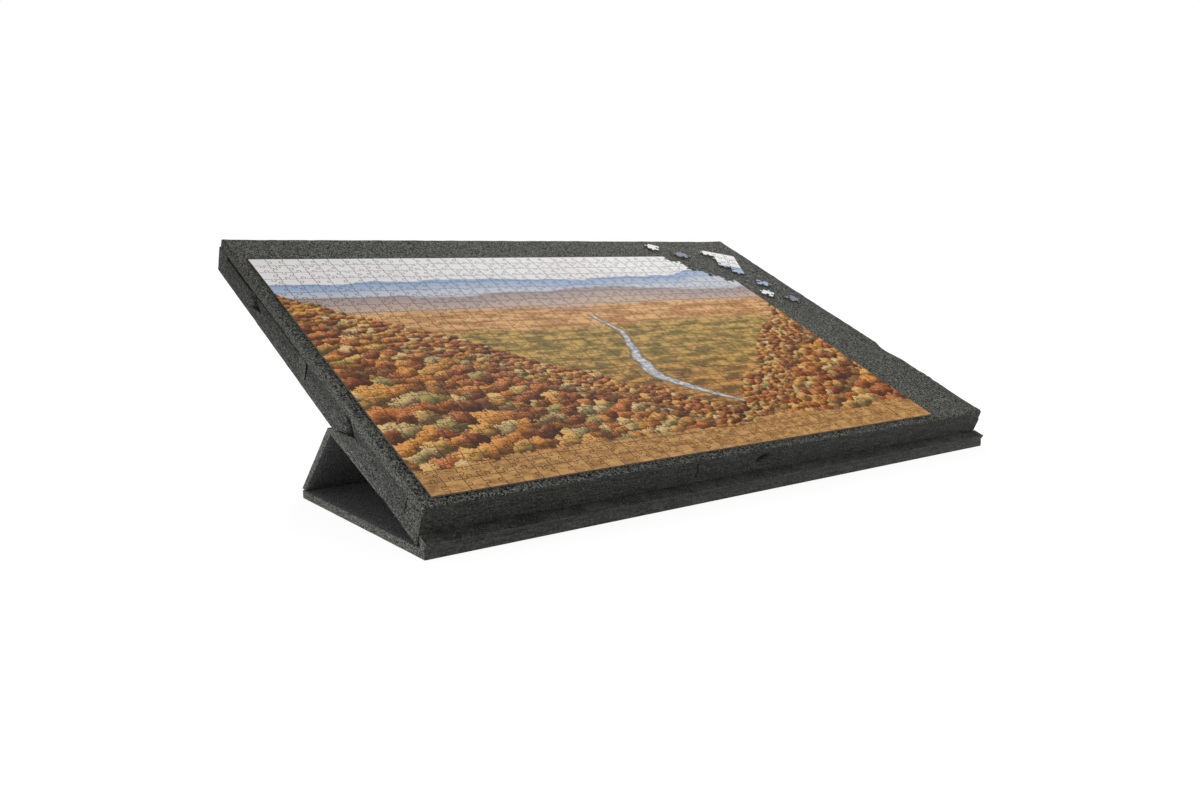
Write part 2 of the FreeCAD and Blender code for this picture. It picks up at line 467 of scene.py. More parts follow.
@dataclass(frozen=True)
class WoodPicture:
    """The printed picture: an autumn wood in a mountain valley, of the builder's own design."""

    name: str = "wood_print"
    aspect: float = 1.42
    sky: Pair = ((0.92, 0.88, 0.88), (0.98, 0.96, 0.96))
    peaks: Layer = Layer(((0.34, 0.46, 0.68), (0.66, 0.68, 0.74)),
                         0.862, 3.1, 4.2, 0.040, 5.0, (-0.003, 0.004))
    hills: Layer = Layer(((0.42, 0.34, 0.33), (0.64, 0.47, 0.37)),
                         0.785, 11.7, 3.0, 0.035, 4.0, (-0.006, 0.008))
    moor: Layer = Layer(((0.54, 0.26, 0.09), (0.84, 0.48, 0.20)),
                        0.700, 21.3, 2.6, 0.030, 4.0, (-0.010, 0.014))
    meadow: Layer = Layer(((0.24, 0.17, 0.045), (0.66, 0.41, 0.11)),
                          0.585, 31.9, 3.4, 0.03, 4.0, (-0.012, 0.016))
    near_meadow: Pair = ((0.22, 0.10, 0.03), (0.70, 0.34, 0.09))
    water: Pair = ((0.50, 0.53, 0.58), (0.86, 0.84, 0.84))
    stream_bank: Colour = (0.30, 0.20, 0.08)
    floor: Pair = ((0.34, 0.155, 0.045), (0.74, 0.40, 0.13))
    fallen_leaf: Colour = (0.90, 0.62, 0.30)
    shade: Colour = (0.10, 0.040, 0.016)
    glint: Colour = (0.96, 0.74, 0.40)
    leaves: tuple = ((0.0, (0.26, 0.070, 0.020)), (0.20, (0.50, 0.130, 0.030)), (0.42, (0.74, 0.240, 0.050)),
                     (0.62, (0.84, 0.350, 0.060)), (0.80, (0.86, 0.480, 0.130)), (0.91, (0.88, 0.620, 0.280)),
                     (1.0, (0.42, 0.310, 0.080)))
    groves: tuple = (Grove(0.0, 52.0, 3.0, 0.018), Grove(0.15, 30.0, 8.0, 0.032),
                     Grove(0.36, 19.0, 15.0, 0.050))

    def _distance(self, c: Canvas) -> Value:
        """Sky, far range, hazy hills and moor.

        Args:
            c: The puzzle's map.

        Returns:
            Their colour.
        """
        picture = c.r.mix(c.grain(c.wide * 4.0, c.up * 11.0).rise(0.35, 0.70), *self.sky)
        depth = c.under(self.peaks, c.across.rise(0.84, 0.93) * 0.040)
        picture = c.lay(picture, self.peaks, depth, depth.rise(0.0, 0.085))
        depth = c.under(self.hills)
        picture = c.lay(picture, self.hills, depth, depth.rise(0.0, 0.09))
        heath = c.grain(c.wide * 9.0, c.up * 40.0, 4.0, 0.6)
        return c.lay(picture, self.moor, c.under(self.moor), heath.rise(0.38, 0.64))

    def _valley(self, c: Canvas, picture: Value) -> Value:
        """Lays meadows over the picture, and the stream that winds through them.

        Args:
            c: The puzzle's map.
            picture: The colour so far.

        Returns:
            The colour with the valley.
        """
        r, up = c.r, c.up
        grass = c.grain(c.wide * 14.0, up * 46.0, 4.0, 0.6)
        green = r.mix(grass.rise(0.36, 0.64), *self.meadow.colours)
        olive = r.mix(grass.rise(0.40, 0.62), *self.near_meadow)
        grown = r.mix(up.rise(0.48, 0.18), green, olive)
        picture = r.mix(c.under(self.meadow).rise(*self.meadow.soft), picture, grown)
        drift = (up * 11.0 + 0.6).wave() * (0.62 - up) * 0.17
        middle = drift + 0.60 - up * 0.10 + c.line(up, 44.0, 14.0, 0.012, 2.0)
        breadth = (0.64 - up) * (0.64 - up) * up.rise(0.14, 0.42) * 0.12 + 0.003
        away = c.across.distance(middle)
        ripple = c.grain(c.wide * 22.0, up * 90.0, 3.0, 0.6)
        water = r.mix(ripple.rise(0.40, 0.66), *self.water)
        seen = up.rise(0.655, 0.625) * up.rise(0.14, 0.17)
        bank = (breadth * 1.25 + 0.004 - away).rise(-0.003, 0.004) * seen
        picture = r.mix(bank, picture, self.stream_bank)
        return r.mix((breadth - away).rise(-0.003, 0.003) * seen, picture, water)

    def _crowns(self, c: Canvas, grove: Grove) -> tuple[Value, Value]:
        """Tree crowns lit from the upper left.

        Args:
            c: The puzzle's map.
            grove: Their row of the woods.

        Returns:
            Their colour, and how near each point lies to a crown's middle.
        """
        r, seed, bends, twigs = c.r, grove.seed, grove.scale * 1.6, grove.scale * 9.0
        bend = c.grain(c.wide * bends + seed, c.up * bends, 4.0, 0.65) - 0.5
        sway = c.grain(c.wide * bends + seed + 9.0, c.up * bends + 4.0, 4.0, 0.65) - 0.5
        x = c.wide * grove.scale + bend * 1.3 + seed
        y = c.up * (grove.scale * 1.25) + sway * 1.3
        inputs = {"Vector": c.vector(x, y), "Scale": 1.0}
        cell = r.node("ShaderNodeTexVoronoi", {"voronoi_dimensions": "2D"}, inputs)
        chance = r.node("ShaderNodeSeparateXYZ", inputs={0: cell.output("Color")})
        middle = r.node("ShaderNodeSeparateXYZ", inputs={0: cell.output("Position")})
        hue = r.node("ShaderNodeValToRGB", {"stops": self.leaves}, {"Fac": chance})
        leaves = c.grain(c.wide * twigs + seed, c.up * twigs, 4.0, 0.75)
        dome = ((y - middle.output("Y")) - (x - middle) * 0.55).rise(-0.52, 0.42)
        light = (dome * 0.90 + 0.16) * (leaves.spread(0.34, 0.68) * 0.60 + 0.66)
        glint = (dome * leaves).rise(0.40, 0.62)
        return r.mix(glint * 0.26, r.tint(hue, light), self.glint), 1.0 - cell

    def _woods(self, c: Canvas, picture: Value) -> Value:
        """Lays the rows of the woods over the picture, with the shade under each.

        Args:
            c: The puzzle's map.
            picture: The colour so far.

        Returns:
            The colour with the woods.
        """
        r, up = c.r, c.up
        top = (0.80 - c.across * 1.12).largest((c.across - 0.50) * 1.30)
        top = top + c.line(c.across, 61.0, 7.0, 0.06, 4.0)
        for grove in self.groves:
            crowns, near = self._crowns(c, grove)
            line = top - grove.drop + c.line(c.across, 70.0 + grove.seed, 6.0, 0.035, 3.0)
            shade = (line + grove.bulge * 1.4 - up).rise(-0.02, 0.05)
            picture = r.mix(shade * 0.75 * (top + 0.01 - up).rise(0.0, 0.03), picture, self.shade)
            picture = r.mix((line + near * grove.bulge - up).rise(-0.002, 0.004), picture, crowns)
        return picture

    def _ground(self, c: Canvas, picture: Value) -> Value:
        """Lays the leafy ground along the near edge over the picture.

        Args:
            c: The puzzle's map.
            picture: The colour so far.

        Returns:
            The whole picture's colour.
        """
        bank = c.line(c.across, 81.0, 5.0, 0.04, 4.0) + 0.085 - c.up
        heath = c.grain(c.wide * 26.0, c.up * 60.0, 5.0, 0.72)
        floor = c.r.mix(heath.rise(0.30, 0.70), *self.floor)
        leaf = c.grain(c.wide * 150.0, c.up * 210.0, 2.0, 0.6).rise(0.60, 0.68)
        floor = c.r.mix(leaf * 0.35, floor, self.fallen_leaf)
        return c.r.mix((bank + heath * 0.05 - 0.025).rise(-0.004, 0.006), picture, floor)

    def build(self) -> Material:
        """Makes the material."""
        r = Recipe(bpy.data.materials.new(self.name))
        across = r.node("ShaderNodeSeparateXYZ", inputs={0: r.node("ShaderNodeTexCoord", output="UV")})
        canvas = Canvas(r, across, across.output("Y"), across * self.aspect)
        picture = self._ground(canvas, self._woods(canvas, self._valley(canvas, self._distance(canvas))))
        grain = r.noise(r.coordinates(), 700.0, 2.0, 0.5)
        return r.surface(Base_Color=r.tint(picture, grain * 0.16 + 0.92), Roughness=grain * 0.16 + 0.62,
                         Normal=r.bump(grain, 0.0002, 0.15), Specular_IOR_Level=0.07)


@dataclass(frozen=True)
class CardStock:
    """Unprinted puzzle card: its grey-blue back, its cut edge, or the painted shade in the die-cut grooves.
    """

    name: str = "card_back"
    light: Colour = (0.25, 0.27, 0.34)
    dark: Colour = (0.15, 0.165, 0.21)

    def build(self) -> Material:
        """Makes the material."""
        r = Recipe(bpy.data.materials.new(self.name))
        grain = r.noise(r.coordinates(), 900.0, 3.0, 0.6)
        board = r.mix(grain.rise(0.3, 0.7), self.dark, self.light)
        return r.surface(Base_Color=board, Roughness=grain * 0.1 + 0.78, Normal=r.bump(grain, 0.0002, 0.3))


def built(finish: Union[FeltFace, FeltCut, WoodPicture, CardStock]) -> Material:
    """A field that builds a finish together with the set it belongs to."""
    return field(default_factory=finish.build)


@dataclass
class Finishes:
    """Every finish of the part, made once."""

    face: Material = built(FeltFace())
    side: Material = built(FeltCut())
    drawer: Material = built(FeltCut(
        "drawer_cut", middle=(0.110, 0.113, 0.105), pale=(0.265, 0.269, 0.250), grain_share=0.78))
    # Painted shade: a darker copy of the cut felt for faces that look to the front, with smoother grain.
    front: Material = built(FeltCut(
        "felt_front", dark=(0.018, 0.019, 0.018), middle=(0.078, 0.080, 0.075), grain_share=0.50,
        stroke_share=0.26, contrast=0.14))
    stand: Material = built(FeltCut(
        "stand_cut", tilt=0.0, middle=(0.196, 0.200, 0.182), pale=(0.36, 0.36, 0.33), contrast=0.075))
    stand_face: Material = built(FeltFace(
        "stand_face", tilt=0.0, dark=(0.036, 0.037, 0.038), middle=(0.110, 0.113, 0.110),
        pale=(0.30, 0.30, 0.29), fleck_share=0.50, contrast=0.20))
    # Painted shade: a darker copy of the stand's cut felt for faces that look to the front, with smoother
    # grain.
    stand_front: Material = built(FeltCut(
        "stand_front", tilt=0.0, dark=(0.030, 0.031, 0.030), middle=(0.132, 0.135, 0.127), grain_share=0.55,
        stroke_share=0.22, contrast=0.16))
    # Partly painted shade: the lip's top takes a dark copy of the front felt for the board's shadow, and its
    # streaky grain is real.
    lip_top_shaded: Material = built(FeltCut(
        "lip_top_shaded", dark=(0.018, 0.019, 0.018), middle=(0.074, 0.076, 0.071), grain_share=0.50,
        stroke_share=0.22, contrast=0.16))
    picture: Material = built(WoodPicture())
    card: Material = built(CardStock())
    # Painted shade: the die-cut grooves take a near-black copy of the card, so the cuts read as shaded lines.
    groove: Material = built(CardStock("card_groove_shade", light=(0.060, 0.050, 0.042), dark=(0.022, 0.018, 0.015)))
    card_edge: Material = built(CardStock("card_edge", light=(0.30, 0.27, 0.23), dark=(0.17, 0.15, 0.13)))


def add_object(name: str, data: bpy.types.ID) -> bpy.types.Object:
    """Puts an object into the scene.

    Args:
        name: Its name.
        data: Its mesh, light or camera.

    Returns:
        The object.
    """
    added = bpy.data.objects.new(name, data)
    bpy.context.scene.collection.objects.link(added)
    return added


def to_mesh(name: str, shape: Shape, materials: Sequence[Material]) -> bpy.types.Mesh:
    """Turns a bmesh into a mesh.

    Args:
        name: The mesh's name.
        shape: The bmesh, freed here.
        materials: Its materials in slot order.

    Returns:
        The mesh.
    """
    data = bpy.data.meshes.new(name)
    shape.to_mesh(data)
    shape.free()
    for material in materials:
        data.materials.append(material)
    return data


def finish_piece(name: str, shape: Shape, body: str, node: str, materials: Sequence[Material],
                 place: Optional[Matrix] = None, smooth: bool = True) -> None:
    """Turns a bmesh into a piece that rides on a body and stands for its CAD node.

    Args:
        name: The piece's name.
        shape: Its shape, freed here.
        body: The CAD body that carries it.
        node: The CAD node that it replaces.
        materials: Its materials in slot order.
        place: Where its own axes lie in the part.
        smooth: Whether faces are shaded smooth, with sharp edges kept.
    """
    if place is not None:
        bmesh.ops.transform(shape, matrix=place, verts=shape.verts)
    data = to_mesh(name, shape, materials)
    if smooth:
        data.shade_smooth()
        data.set_sharp_from_angle(angle=SHARP_ANGLE)
    piece = add_object(name, data)
    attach(piece, body)
    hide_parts(node)
    log.info("%s: %d faces on %s", name, len(data.polygons), body)


def smooth_step(value: float, low: float, high: float) -> float:
    """0 below low, 1 above high and smooth between."""
    share = min(1.0, max(0.0, (value - low) / (high - low)))
    return share * share * (3.0 - 2.0 * share)


def steps(low: float, high: float, cell: float) -> list[float]:
    """Even places strictly between two limits, about one cell apart."""
    count = max(1, round((high - low) / cell))
    return [low + (high - low) * i / count for i in range(1, count)]


def unevenness(spot: Vector, squeeze: float = 1.0) -> Vector:
    """Which way a spot of worn felt is shifted, with the fine waves squeezed along the thickness."""
    fine = Vector((spot.x, spot.y, spot.z * squeeze))
    return noise.noise_vector(spot * LONG_WAVE) + noise.noise_vector(fine * SHORT_WAVE)


def painted_shade_layer(shape: Shape) -> bmesh.types.BMLayerItem:
    """The layer of painted shade: how much each vertex is darkened where notches, slits and creases lie in
    shade.
    """
    layers = shape.verts.layers.float
    return layers.get(SHADE_ATTRIBUTE) or layers.new(SHADE_ATTRIBUTE)


def cut_across(shape: Shape, point: Vector, normal: Vector) -> None:
    """Cuts a shape's faces along a plane and keeps both sides."""
    geometry = shape.verts[:] + shape.edges[:] + shape.faces[:]
    bmesh.ops.bisect_plane(shape, geom=geometry, plane_co=point, plane_no=normal, dist=1e-7)


@dataclass
class FeltStock:
    """How felt panels are cut, softened and bent."""

    finishes: Finishes
    edge_round: float = 0.3 * MM
    cell: float = 9.0 * MM

    @staticmethod
    def block(low: Sequence[float], high: Sequence[float]) -> Shape:
        """A box between two corners.

        Args:
            low: Its lowest corner.
            high: Its highest corner.

        Returns:
            The new shape.
        """
        shape = bmesh.new()
        bmesh.ops.create_cube(shape, size=1.0)
        bmesh.ops.scale(shape, vec=Vector(high) - Vector(low), verts=shape.verts)
        bmesh.ops.translate(shape, vec=(Vector(high) + Vector(low)) / 2, verts=shape.verts)
        return shape

    @staticmethod
    def plate(outline: Sequence[Point], low: float, high: float) -> Shape:
        """A flat plate between two levels.

        Args:
            outline: Its corners, read anticlockwise.
            low: Its lower level.
            high: Its upper level.

        Returns:
            The new shape.
        """
        shape = bmesh.new()
        corners = [shape.verts.new((x, y, low)) for x, y in outline]
        raised = bmesh.ops.extrude_face_region(shape, geom=[shape.faces.new(corners)])["geom"]
        verts = [v for v in raised if isinstance(v, Vert)]
        bmesh.ops.translate(shape, vec=(0, 0, high - low), verts=verts)
        bmesh.ops.recalc_face_normals(shape, faces=shape.faces)
        return shape

    def soften(self, shape: Shape, amount: Optional[float] = None,
               chosen: Optional[Callable[[Vector], bool]] = None) -> None:
        """Rounds the sharp edges of a shape.

        Args:
            shape: The shape.
            amount: How far the rounding reaches, if not the usual.
            chosen: Tells from an edge's middle whether to round it.
        """
        edges = [e for e in shape.edges if e.is_manifold and e.calc_face_angle(0.0) > SOFTENED_ANGLE]
        if chosen is not None:
            edges = [e for e in edges if chosen((e.verts[0].co + e.verts[1].co) / 2)]
        bmesh.ops.bevel(shape, geom=edges, offset=amount or self.edge_round, offset_type="OFFSET", segments=2,
                        profile=0.5, affect="EDGES", clamp_overlap=True, material=-1)

    @staticmethod
    def slice(shape: Shape, axis: int, places: Iterable[float]) -> None:
        """Cuts a shape across an axis, so that it can be bent.

        Args:
            shape: The shape.
            axis: The axis, from 0 to 2.
            places: Where along it the cuts are.
        """
        normal = Vector((0.0, 0.0, 0.0))
        normal[axis] = 1.0
        for place in places:
            cut_across(shape, normal * place, normal)

    @staticmethod
    def finish_faces(shape: Shape, up: Vector = UP) -> None:
        """Gives each face the finish of the side that it looks to; faces looking to the front take a darker
        copy of the cut felt, which is painted shade.

        Args:
            shape: The shape.
            up: The way that its broad faces look.
        """
        for face in shape.faces:
            # Faces that look to the front take the darker, painted-shade copy of the cut felt.
            cut = Cut.FRONT if face.normal.dot(FRONT) > FACING else Cut.SIDE
            face.material_index = (Cut.FACE if abs(face.normal.dot(up)) > FACING else cut).value


@dataclass(frozen=True)
class Scoop:
    """A finger notch pressed into a long side: a wedge between a leaning near rim and a slanted ledge."""

    middle: float
    ledge: float = 19.0 * MM
    slant: float = 0.40
    lean: float = 1.5
    half: float = 21.0 * MM
    depth: float = 7.5 * MM
    ramp: float = 1.6 * MM
    step: float = 1.3 * MM
    fade: Point = (6.0 * MM, 32.0 * MM)
    close: Point = (4.0 * MM, 13.0 * MM)
    fold_wide: float = 1.2 * MM
    fold_near: float = 42.0 * MM
    fold_far: float = 43.0 * MM
    fold_slant: float = 0.11
    fold_share: float = 0.55

    @property
    def rim(self) -> float:
        """Where the near rim meets the ledge."""
        return self.middle - self.half

    def edge(self, along: float) -> float:
        """How high the ledge is at a place along the side, and the fold that runs on in front of it."""
        past = along - self.rim
        return self.ledge - (self.slant if past > 0.0 else self.fold_slant) * past

    def share(self, along: float, height: float) -> float:
        """How much of its full depth the notch has.

        Args:
            along: A place along the side.
            height: A height there.

        Returns:
            The share, from 0 to 1.
        """
        past = along - self.rim - self.lean * max(0.0, height - self.ledge)
        near = min(1.0, max(0.0, past / self.ramp))
        far = 1.0 - smooth_step(past, *self.fade)
        low = smooth_step(height - self.edge(along), -HAIR, self.step)
        return near * far * low * (1.0 - smooth_step(height - self.ledge, *self.close))

    def fold(self, along: float, height: float) -> float:
        """How deep the thin fold along the ledge is.

        Args:
            along: A place along the side.
            height: A height there.

        Returns:
            The share of its full depth, from 0 to 1.
        """
        off = abs(height - self.edge(along) - 0.5 * MM) / self.fold_wide
        past = along - self.rim
        near = smooth_step(past, -self.fold_near, -2.0 * MM) if self.fold_near > 0.0 else float(past > 0.0)
        reach = near * (self.fold_share if past < -NEAR else 1.0)
        far = 1.0 - smooth_step(past, self.fold_far - 10.0 * MM, self.fold_far)
        return max(0.0, 1.0 - off) * reach * far

    def cuts(self, cell: float) -> list[float]:
        """Places along the edge that are fine enough for the curve."""
        low, high = self.rim + self.ramp, self.middle + self.half * 1.75
        return [self.rim - 0.2 * MM, self.rim, low, *steps(low, high, cell), high]

    def lines(self) -> list[tuple[Point, Point]]:
        """The lines that the notch's edges follow: a place along and up, and the line's normal there."""
        found = [((self.rim + past, self.ledge), (1.0, -self.lean)) for past in (0.0, self.ramp)]
        slants = (self.slant, self.fold_slant) if self.fold_near > 0.0 else (self.slant,)
        for raise_by, slant in product((-0.35 * MM, 0.5 * MM, self.step), slants):
            found.append(((self.rim, self.ledge + raise_by), (slant, 1.0)))
        return found


@dataclass(frozen=True)
class Dent:
    """A soft slanting dent in the front face, over the front drawer."""

    low: Point = (-9.0 * MM, 22.0 * MM)
    high: Point = (16.0 * MM, 31.5 * MM)
    thick: float = 3.8 * MM
    depth: float = 6.5 * MM
    margin: float = 4.0 * MM

    def share(self, across: float, height: float) -> float:
        """How much of its full depth the dent has.

        Args:
            across: A place across the front face.
            height: A height there.

        Returns:
            The share, from 0 to 1.
        """
        reach = (self.high[0] - self.low[0], self.high[1] - self.low[1])
        length = math.hypot(*reach)
        along = ((across - self.low[0]) * reach[0] + (height - self.low[1]) * reach[1]) / length ** 2
        off = ((height - self.low[1]) * reach[0] - (across - self.low[0]) * reach[1]) / length
        body = smooth_step(along, -0.12, 0.30) * (1.0 - smooth_step(along, 0.35, 1.15))
        return body * math.exp(-(off / self.thick) ** 2)

    def cuts(self, cell: float) -> list[float]:
        """Places across the front that are fine enough for the dent."""
        return steps(self.low[0] - self.margin, self.high[0] + self.margin, cell)


@dataclass(frozen=True)
class Bow:
    """The right top edge: a little full, with a dip over the near drawer's notch."""

    swell: float = 0.9 * MM
    fuller: Point = (-320.0 * MM, -240.0 * MM)
    dip: float = 2.5 * MM
    dip_far: float = 193.0 * MM
    dip_fall: float = 11.0 * MM
    dip_climb: Point = (18.0 * MM, 58.0 * MM)
    reach: Point = (3.0 * MM, 28.0 * MM)
    start: float = 2.0 * MM

    def fullness(self, along: float) -> float:
        """How far the edge stands out at a place up the slope."""
        return self.swell * (1.0 + smooth_step(-along, *self.fuller))

    def drop(self, along: float) -> float:
        """How deep the dip is at a place up the slope."""
        past = self.dip_far - along
        return self.dip * (smooth_step(past, 0.0, self.dip_fall) * (1.0 - smooth_step(past, *self.dip_climb)))


@dataclass
class Board:
    """The flat body in its own axes of width, slope and height, and how its felt is worn."""

    stock: FeltStock
    half: float = 394.0 * MM
    depth: float = 554.0 * MM
    bottom: float = 6.0 * MM
    frame_top: float = 29.0 * MM
    top: float = 39.0 * MM
    inset: float = 0.8 * MM
    end_rail: float = 28.0 * MM
    divider: float = 18.0 * MM
    bay: float = 240.0 * MM
    front_bay_half: float = 92.0 * MM
    centre_rail: float = 14.0 * MM
    front_bay_depth: float = 240.8 * MM
    cross_rail: float = 18.0 * MM
    rib_half: float = 6.0 * MM
    shelf_top: float = 17.0 * MM
    front_gap: float = 2.9 * MM
    wall: float = 16.0 * MM
    fold_depth: float = 1.8 * MM
    front_slit: float = -93.2 * MM
    slit_half: float = 1.1 * MM
    slit_depth: float = 3.0 * MM
    slit_fade: Point = (33.0 * MM, 36.5 * MM)
    wave: float = 0.36 * MM
    worn_edge: float = 5.0 * MM
    bar_round: float = 0.25 * MM
    back_round: float = 2.4 * MM
    top_round: float = 2.2 * MM
    bottom_round: float = 0.5 * MM
    scoops: tuple = (Scoop(161.5 * MM),
                     Scoop(424.5 * MM, 16.5 * MM, 0.20, 1.9, fold_near=0.0, fold_far=34.0 * MM))
    dent: Dent = Dent()
    bow: Bow = Bow()

    def place(self) -> Matrix:
        """The board's axes in the part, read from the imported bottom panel."""
        low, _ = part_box("bottom_panel")
        corner = Vector((0.0, low[1] + self.bottom * math.sin(TILT), low[2]))
        return Matrix.Translation(corner) @ Matrix.Rotation(TILT, 4, "X")

    def press(self, shape: Shape) -> None:
        """Presses the notches, the dent and the slit in, sets their painted shade, and gives the outer faces
        their slight waviness.

        Args:
            shape: A felt piece in the board's axes.
        """
        layer = painted_shade_layer(shape)
        for vert in shape.verts:
            spot = vert.co.copy()
            depth_in = self.half - abs(spot.x)
            if depth_in < self.wall:
                vert[layer] = max(vert[layer], self._press_side(vert, depth_in / self.wall))
            if spot.y < self.wall and spot.z > self.shelf_top + self.front_gap:
                vert[layer] = max(vert[layer], self._press_front(vert, spot))
            self._waver(vert)

    def _press_side(self, vert: Vert, share: float) -> float:
        """Presses one vertex of a side in.

        Args:
            vert: The vertex.
            share: How deep it lies in the wall, from 0 on the face to 1.

        Returns:
            How much painted shade it takes, from 0 to 1.
        """
        x, u, h = vert.co
        painted_shade = 0.0
        for scoop in self.scoops:
            pressed = scoop.share(u, h)
            fold = scoop.fold(u, h) * (1.0 - share) ** 8
            vert.co.x -= math.copysign(scoop.depth * pressed * (1.0 - share) + self.fold_depth * fold, x)
            # Painted shade deep in the notch and along its fold.
            painted_shade = max(painted_shade, pressed * (1.0 - share) ** 2, fold)
        return smooth_step(painted_shade, 0.05, 0.60)

    def _press_front(self, vert: Vert, spot: Vector) -> float:
        """Presses one vertex of the front in.

        Args:
            vert: The vertex.
            spot: Where it lay before anything was pressed in.

        Returns:
            How strongly it is pressed in, from 0 to 1.
        """
        x, u, h = spot
        outer = 1.0 - u / self.wall
        share = self.dent.share(x, h) * outer
        vert.co.y += self.dent.depth * share
        # Painted shade in the dent and, further down, in the slit.
        painted_shade = smooth_step(share, 0.1, 0.9) * 0.95
        if h > self.frame_top - HAIR:
            slit = max(0.0, 1.0 - abs(x - self.front_slit) / self.slit_half)
            slit *= (1.0 - smooth_step(h, *self.slit_fade)) * outer
            vert.co.y += self.slit_depth * slit
            painted_shade = max(painted_shade, slit)
        return painted_shade

    def _waver(self, vert: Vert) -> None:
        """Moves a vertex of the outline a little, as felt is never quite straight.

        Args:
            vert: The vertex.
        """
        x, u, h = vert.co
        rough = unevenness(vert.co, 1.5)
        if self.half - abs(x) < SKIN:
            vert.co.x -= math.copysign(self.wave * (0.6 + rough.x), x)
        if min(u, self.depth - u) < SKIN:
            vert.co.y += self.wave * rough.y
        if x > 0.0 and h > self.frame_top:
            self._fill_out(vert)
        if h > self.top - SKIN or h < 0.5 * MM:
            edge = min(self.half - abs(x), u, self.depth - u)
            vert.co.z += self.wave * rough.z * (1.0 if edge < self.worn_edge else 0.2)

    def _fill_out(self, vert: Vert) -> None:
        """Swells the right top edge a little and lets it dip over the near drawer's notch.

        Args:
            vert: A vertex of the top panel's right half.
        """
        x, u, h = vert.co
        near = 1.0 - smooth_step(self.half - x, *self.bow.reach)
        lift = smooth_step(h, self.frame_top + self.bow.start, self.top)
        swell = self.bow.fullness(u)
        vert.co.z += (swell - self.bow.drop(u)) * near * lift
        if self.half - x < SKIN:
            vert.co.x += swell * lift

    def cut_lines(self, shape: Shape) -> None:
        """Cuts a shape in the board's axes along the edges of the notches."""
        for (along, up), (across, rise) in (line for scoop in self.scoops for line in scoop.lines()):
            cut_across(shape, Vector((0.0, along, up)), Vector((0.0, across, rise)).normalized())

    def _piece(self, name: str, shape: Shape) -> None:
        """Dresses one felt piece of the board.

        Args:
            name: The CAD node that it stands for.
            shape: The piece in the board's axes.
        """
        self.stock.finish_faces(shape)
        self.press(shape)
        finishes = self.stock.finishes
        materials = [finishes.face, finishes.side, finishes.front]
        finish_piece("felt_" + name, shape, "board", name, materials, self.place())

    def _bar(self, name: str, x: Point, u: Point, h: Point, upper_round: float = 0.0,
             shaded_slit_end: bool = False) -> None:
        """A felt bar of the frame.

        Args:
            name: The CAD node that it stands for.
            x: Its limits in width.
            u: Its limits up the slope.
            h: Its limits in height.
            upper_round: How far its upper edges are rounded, if more than the others.
            shaded_slit_end: Whether a slit opens onto its near side, whose end faces then take painted shade.
        """
        stock = self.stock
        shape = stock.block((x[0], u[0], h[0]), (x[1], u[1], h[1]))
        stock.soften(shape, self.bar_round, lambda middle: middle.z < h[1] - HAIR or not upper_round)
        if upper_round:
            stock.soften(shape, upper_round, lambda middle: middle.z > h[1] - HAIR)
        if min(u) < NEAR or max(u) > self.depth - NEAR or max(abs(v) for v in x) > self.half - NEAR:
            for axis, (low, high), cell in ((0, x, stock.cell), (1, u, stock.cell), (2, h, 6.0 * MM)):
                stock.slice(shape, axis, steps(low, high, cell))
        # Painted shade: the near end faces where the slit opens are darkened fully.
        if shaded_slit_end:
            layer = painted_shade_layer(shape)
            for vert in shape.verts:
                vert[layer] = float(vert.co.y < u[0] + 0.3 * MM and self.half - abs(vert.co.x) > 0.2 * MM)
        self._piece(name, shape)

    def build(self) -> None:
        """Makes every piece of the body."""
        self._top_panel()
        self._bottom_panel()
        span = (self.bottom, self.frame_top)
        half, bay, cross = self.half, self.front_bay_half, self.front_bay_depth
        outer = bay + self.centre_rail
        front, back = self.end_rail, self.depth - self.end_rail
        mid = front + self.bay
        self._bar("back_rail", (-half, half), (back, self.depth), span, self.back_round)
        self._bar("front_rail_left", (-half, -bay), (0, front), span)
        self._bar("front_rail_right", (bay, half), (0, front), span)
        self._bar("side_divider_left", (-half, -outer), (mid, mid + self.divider), span, shaded_slit_end=True)
        self._bar("side_divider_right", (outer, half), (mid, mid + self.divider), span, shaded_slit_end=True)
        self._bar("centre_rail_left", (-outer, -bay), (front, back), span)
        self._bar("centre_rail_right", (bay, outer), (front, back), span)
        self._bar("cross_rail", (-bay, bay), (cross, cross + self.cross_rail), span)
        self._bar("centre_rib", (-self.rib_half, self.rib_half), (cross + self.cross_rail, back), span)
        self._bar("front_drawer_shelf", (-bay, bay), (0, cross), (self.bottom, self.shelf_top))

    def _top_panel(self) -> None:
        """The work surface, its edges softened and pressed in over the notches."""
        x, u, edge = self.half - self.inset, self.depth - self.inset, 4.0 * MM
        shape = self.stock.block((-x, 0, self.frame_top), (x, u, self.top))
        self.stock.soften(shape, self.top_round, lambda middle: middle.z > self.frame_top + HAIR)
        self.stock.slice(shape, 2, steps(self.frame_top, self.top, 3.0 * MM))
        fine = [self.front_slit + shift for shift in (-self.slit_half, 0.0, self.slit_half)]
        fine += self.dent.cuts(1.5 * MM)
        self.stock.slice(shape, 0, [edge - x, *steps(edge - x, x - edge, 5.0 * MM), x - edge, *fine])
        self.stock.slice(shape, 1, [edge, *steps(edge, u - edge, 4.0 * MM), u - edge])
        self._piece("top_panel", shape)

    def _bottom_panel(self) -> None:
        """The panel under the drawers, with the end of each notch's fold."""
        half, edge = self.half, 2.0 * MM
        shape = self.stock.block((-half, 0, 0), (half, self.depth, self.bottom))
        self.stock.soften(shape, self.bottom_round, lambda middle: middle.z < self.bottom - HAIR)
        self.stock.slice(shape, 0, [edge - half, *steps(-half, half, 14.0 * MM), half - edge])
        self.stock.slice(shape, 1, steps(0.0, self.depth, 12.0 * MM))
        self.stock.slice(shape, 2, [self.bottom / 2])
        self.cut_lines(shape)
        self._piece("bottom_panel", shape)


